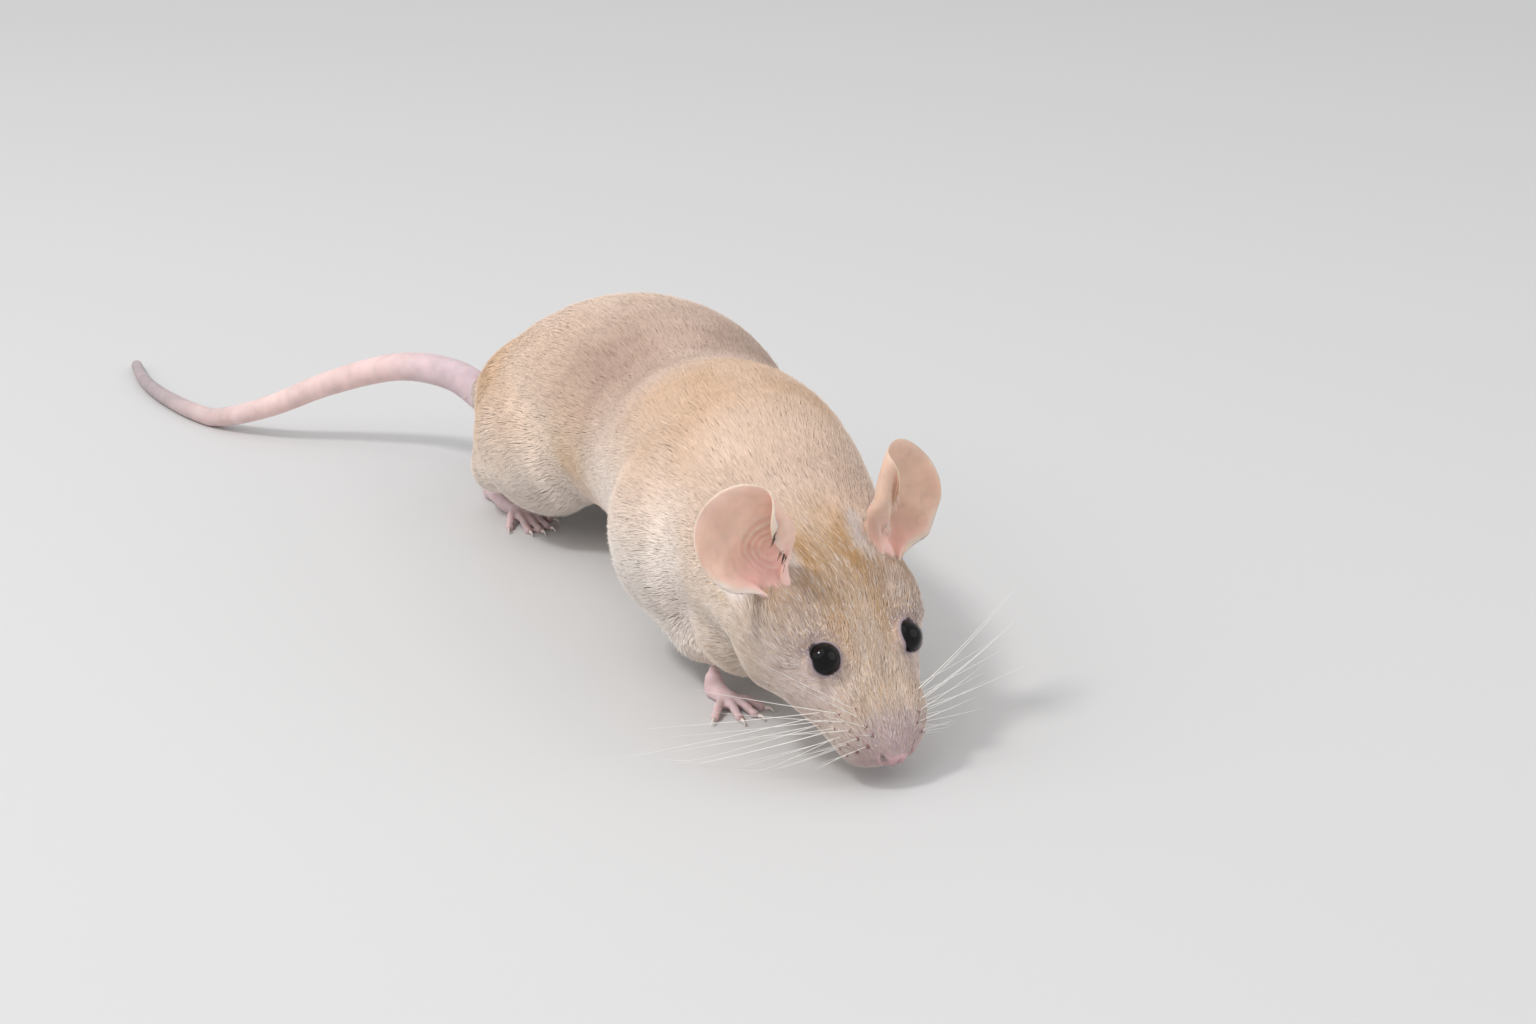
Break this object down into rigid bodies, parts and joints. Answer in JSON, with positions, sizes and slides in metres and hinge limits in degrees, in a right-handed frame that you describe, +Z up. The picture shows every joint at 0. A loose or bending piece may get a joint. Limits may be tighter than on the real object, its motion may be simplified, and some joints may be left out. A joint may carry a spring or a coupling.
{
  "type": "fawn pet mouse sniffing along the floor",
  "caption": "A life-size still model of a pale fawn pet mouse with black eyes and pink ears, feet and tail, stretched forward to sniff the floor.",
  "frame": {"origin": "middle of the base, on the floor", "axes": "+Z up, nose toward -Y, the mouse's left toward +X; the tail runs back along +Y"},
  "size_m": [0.0528, 0.1674, 0.0311],
  "materials": {
    "coat": "short smooth pale fawn and cream fur",
    "bare_skin": "soft matte pink skin",
    "eye": "black wet gloss"
  },
  "bodies": {
    "root": {"head": "coat", "neck": "coat", "trunk": "coat", "leg_front_right": "coat", "leg_front_left": "coat", "leg_hind_right": "coat", "leg_hind_left": "coat", "ear_right": "bare_skin", "ear_left": "bare_skin", "eye_right": "eye", "eye_left": "eye", "foot_front_right": "bare_skin", "foot_front_left": "bare_skin", "foot_hind_right": "bare_skin", "foot_hind_left": "bare_skin", "tail_1": "bare_skin", "tail_2": "bare_skin", "tail_3": "bare_skin", "tail_4": "bare_skin"}
  },
  "joints": []
}
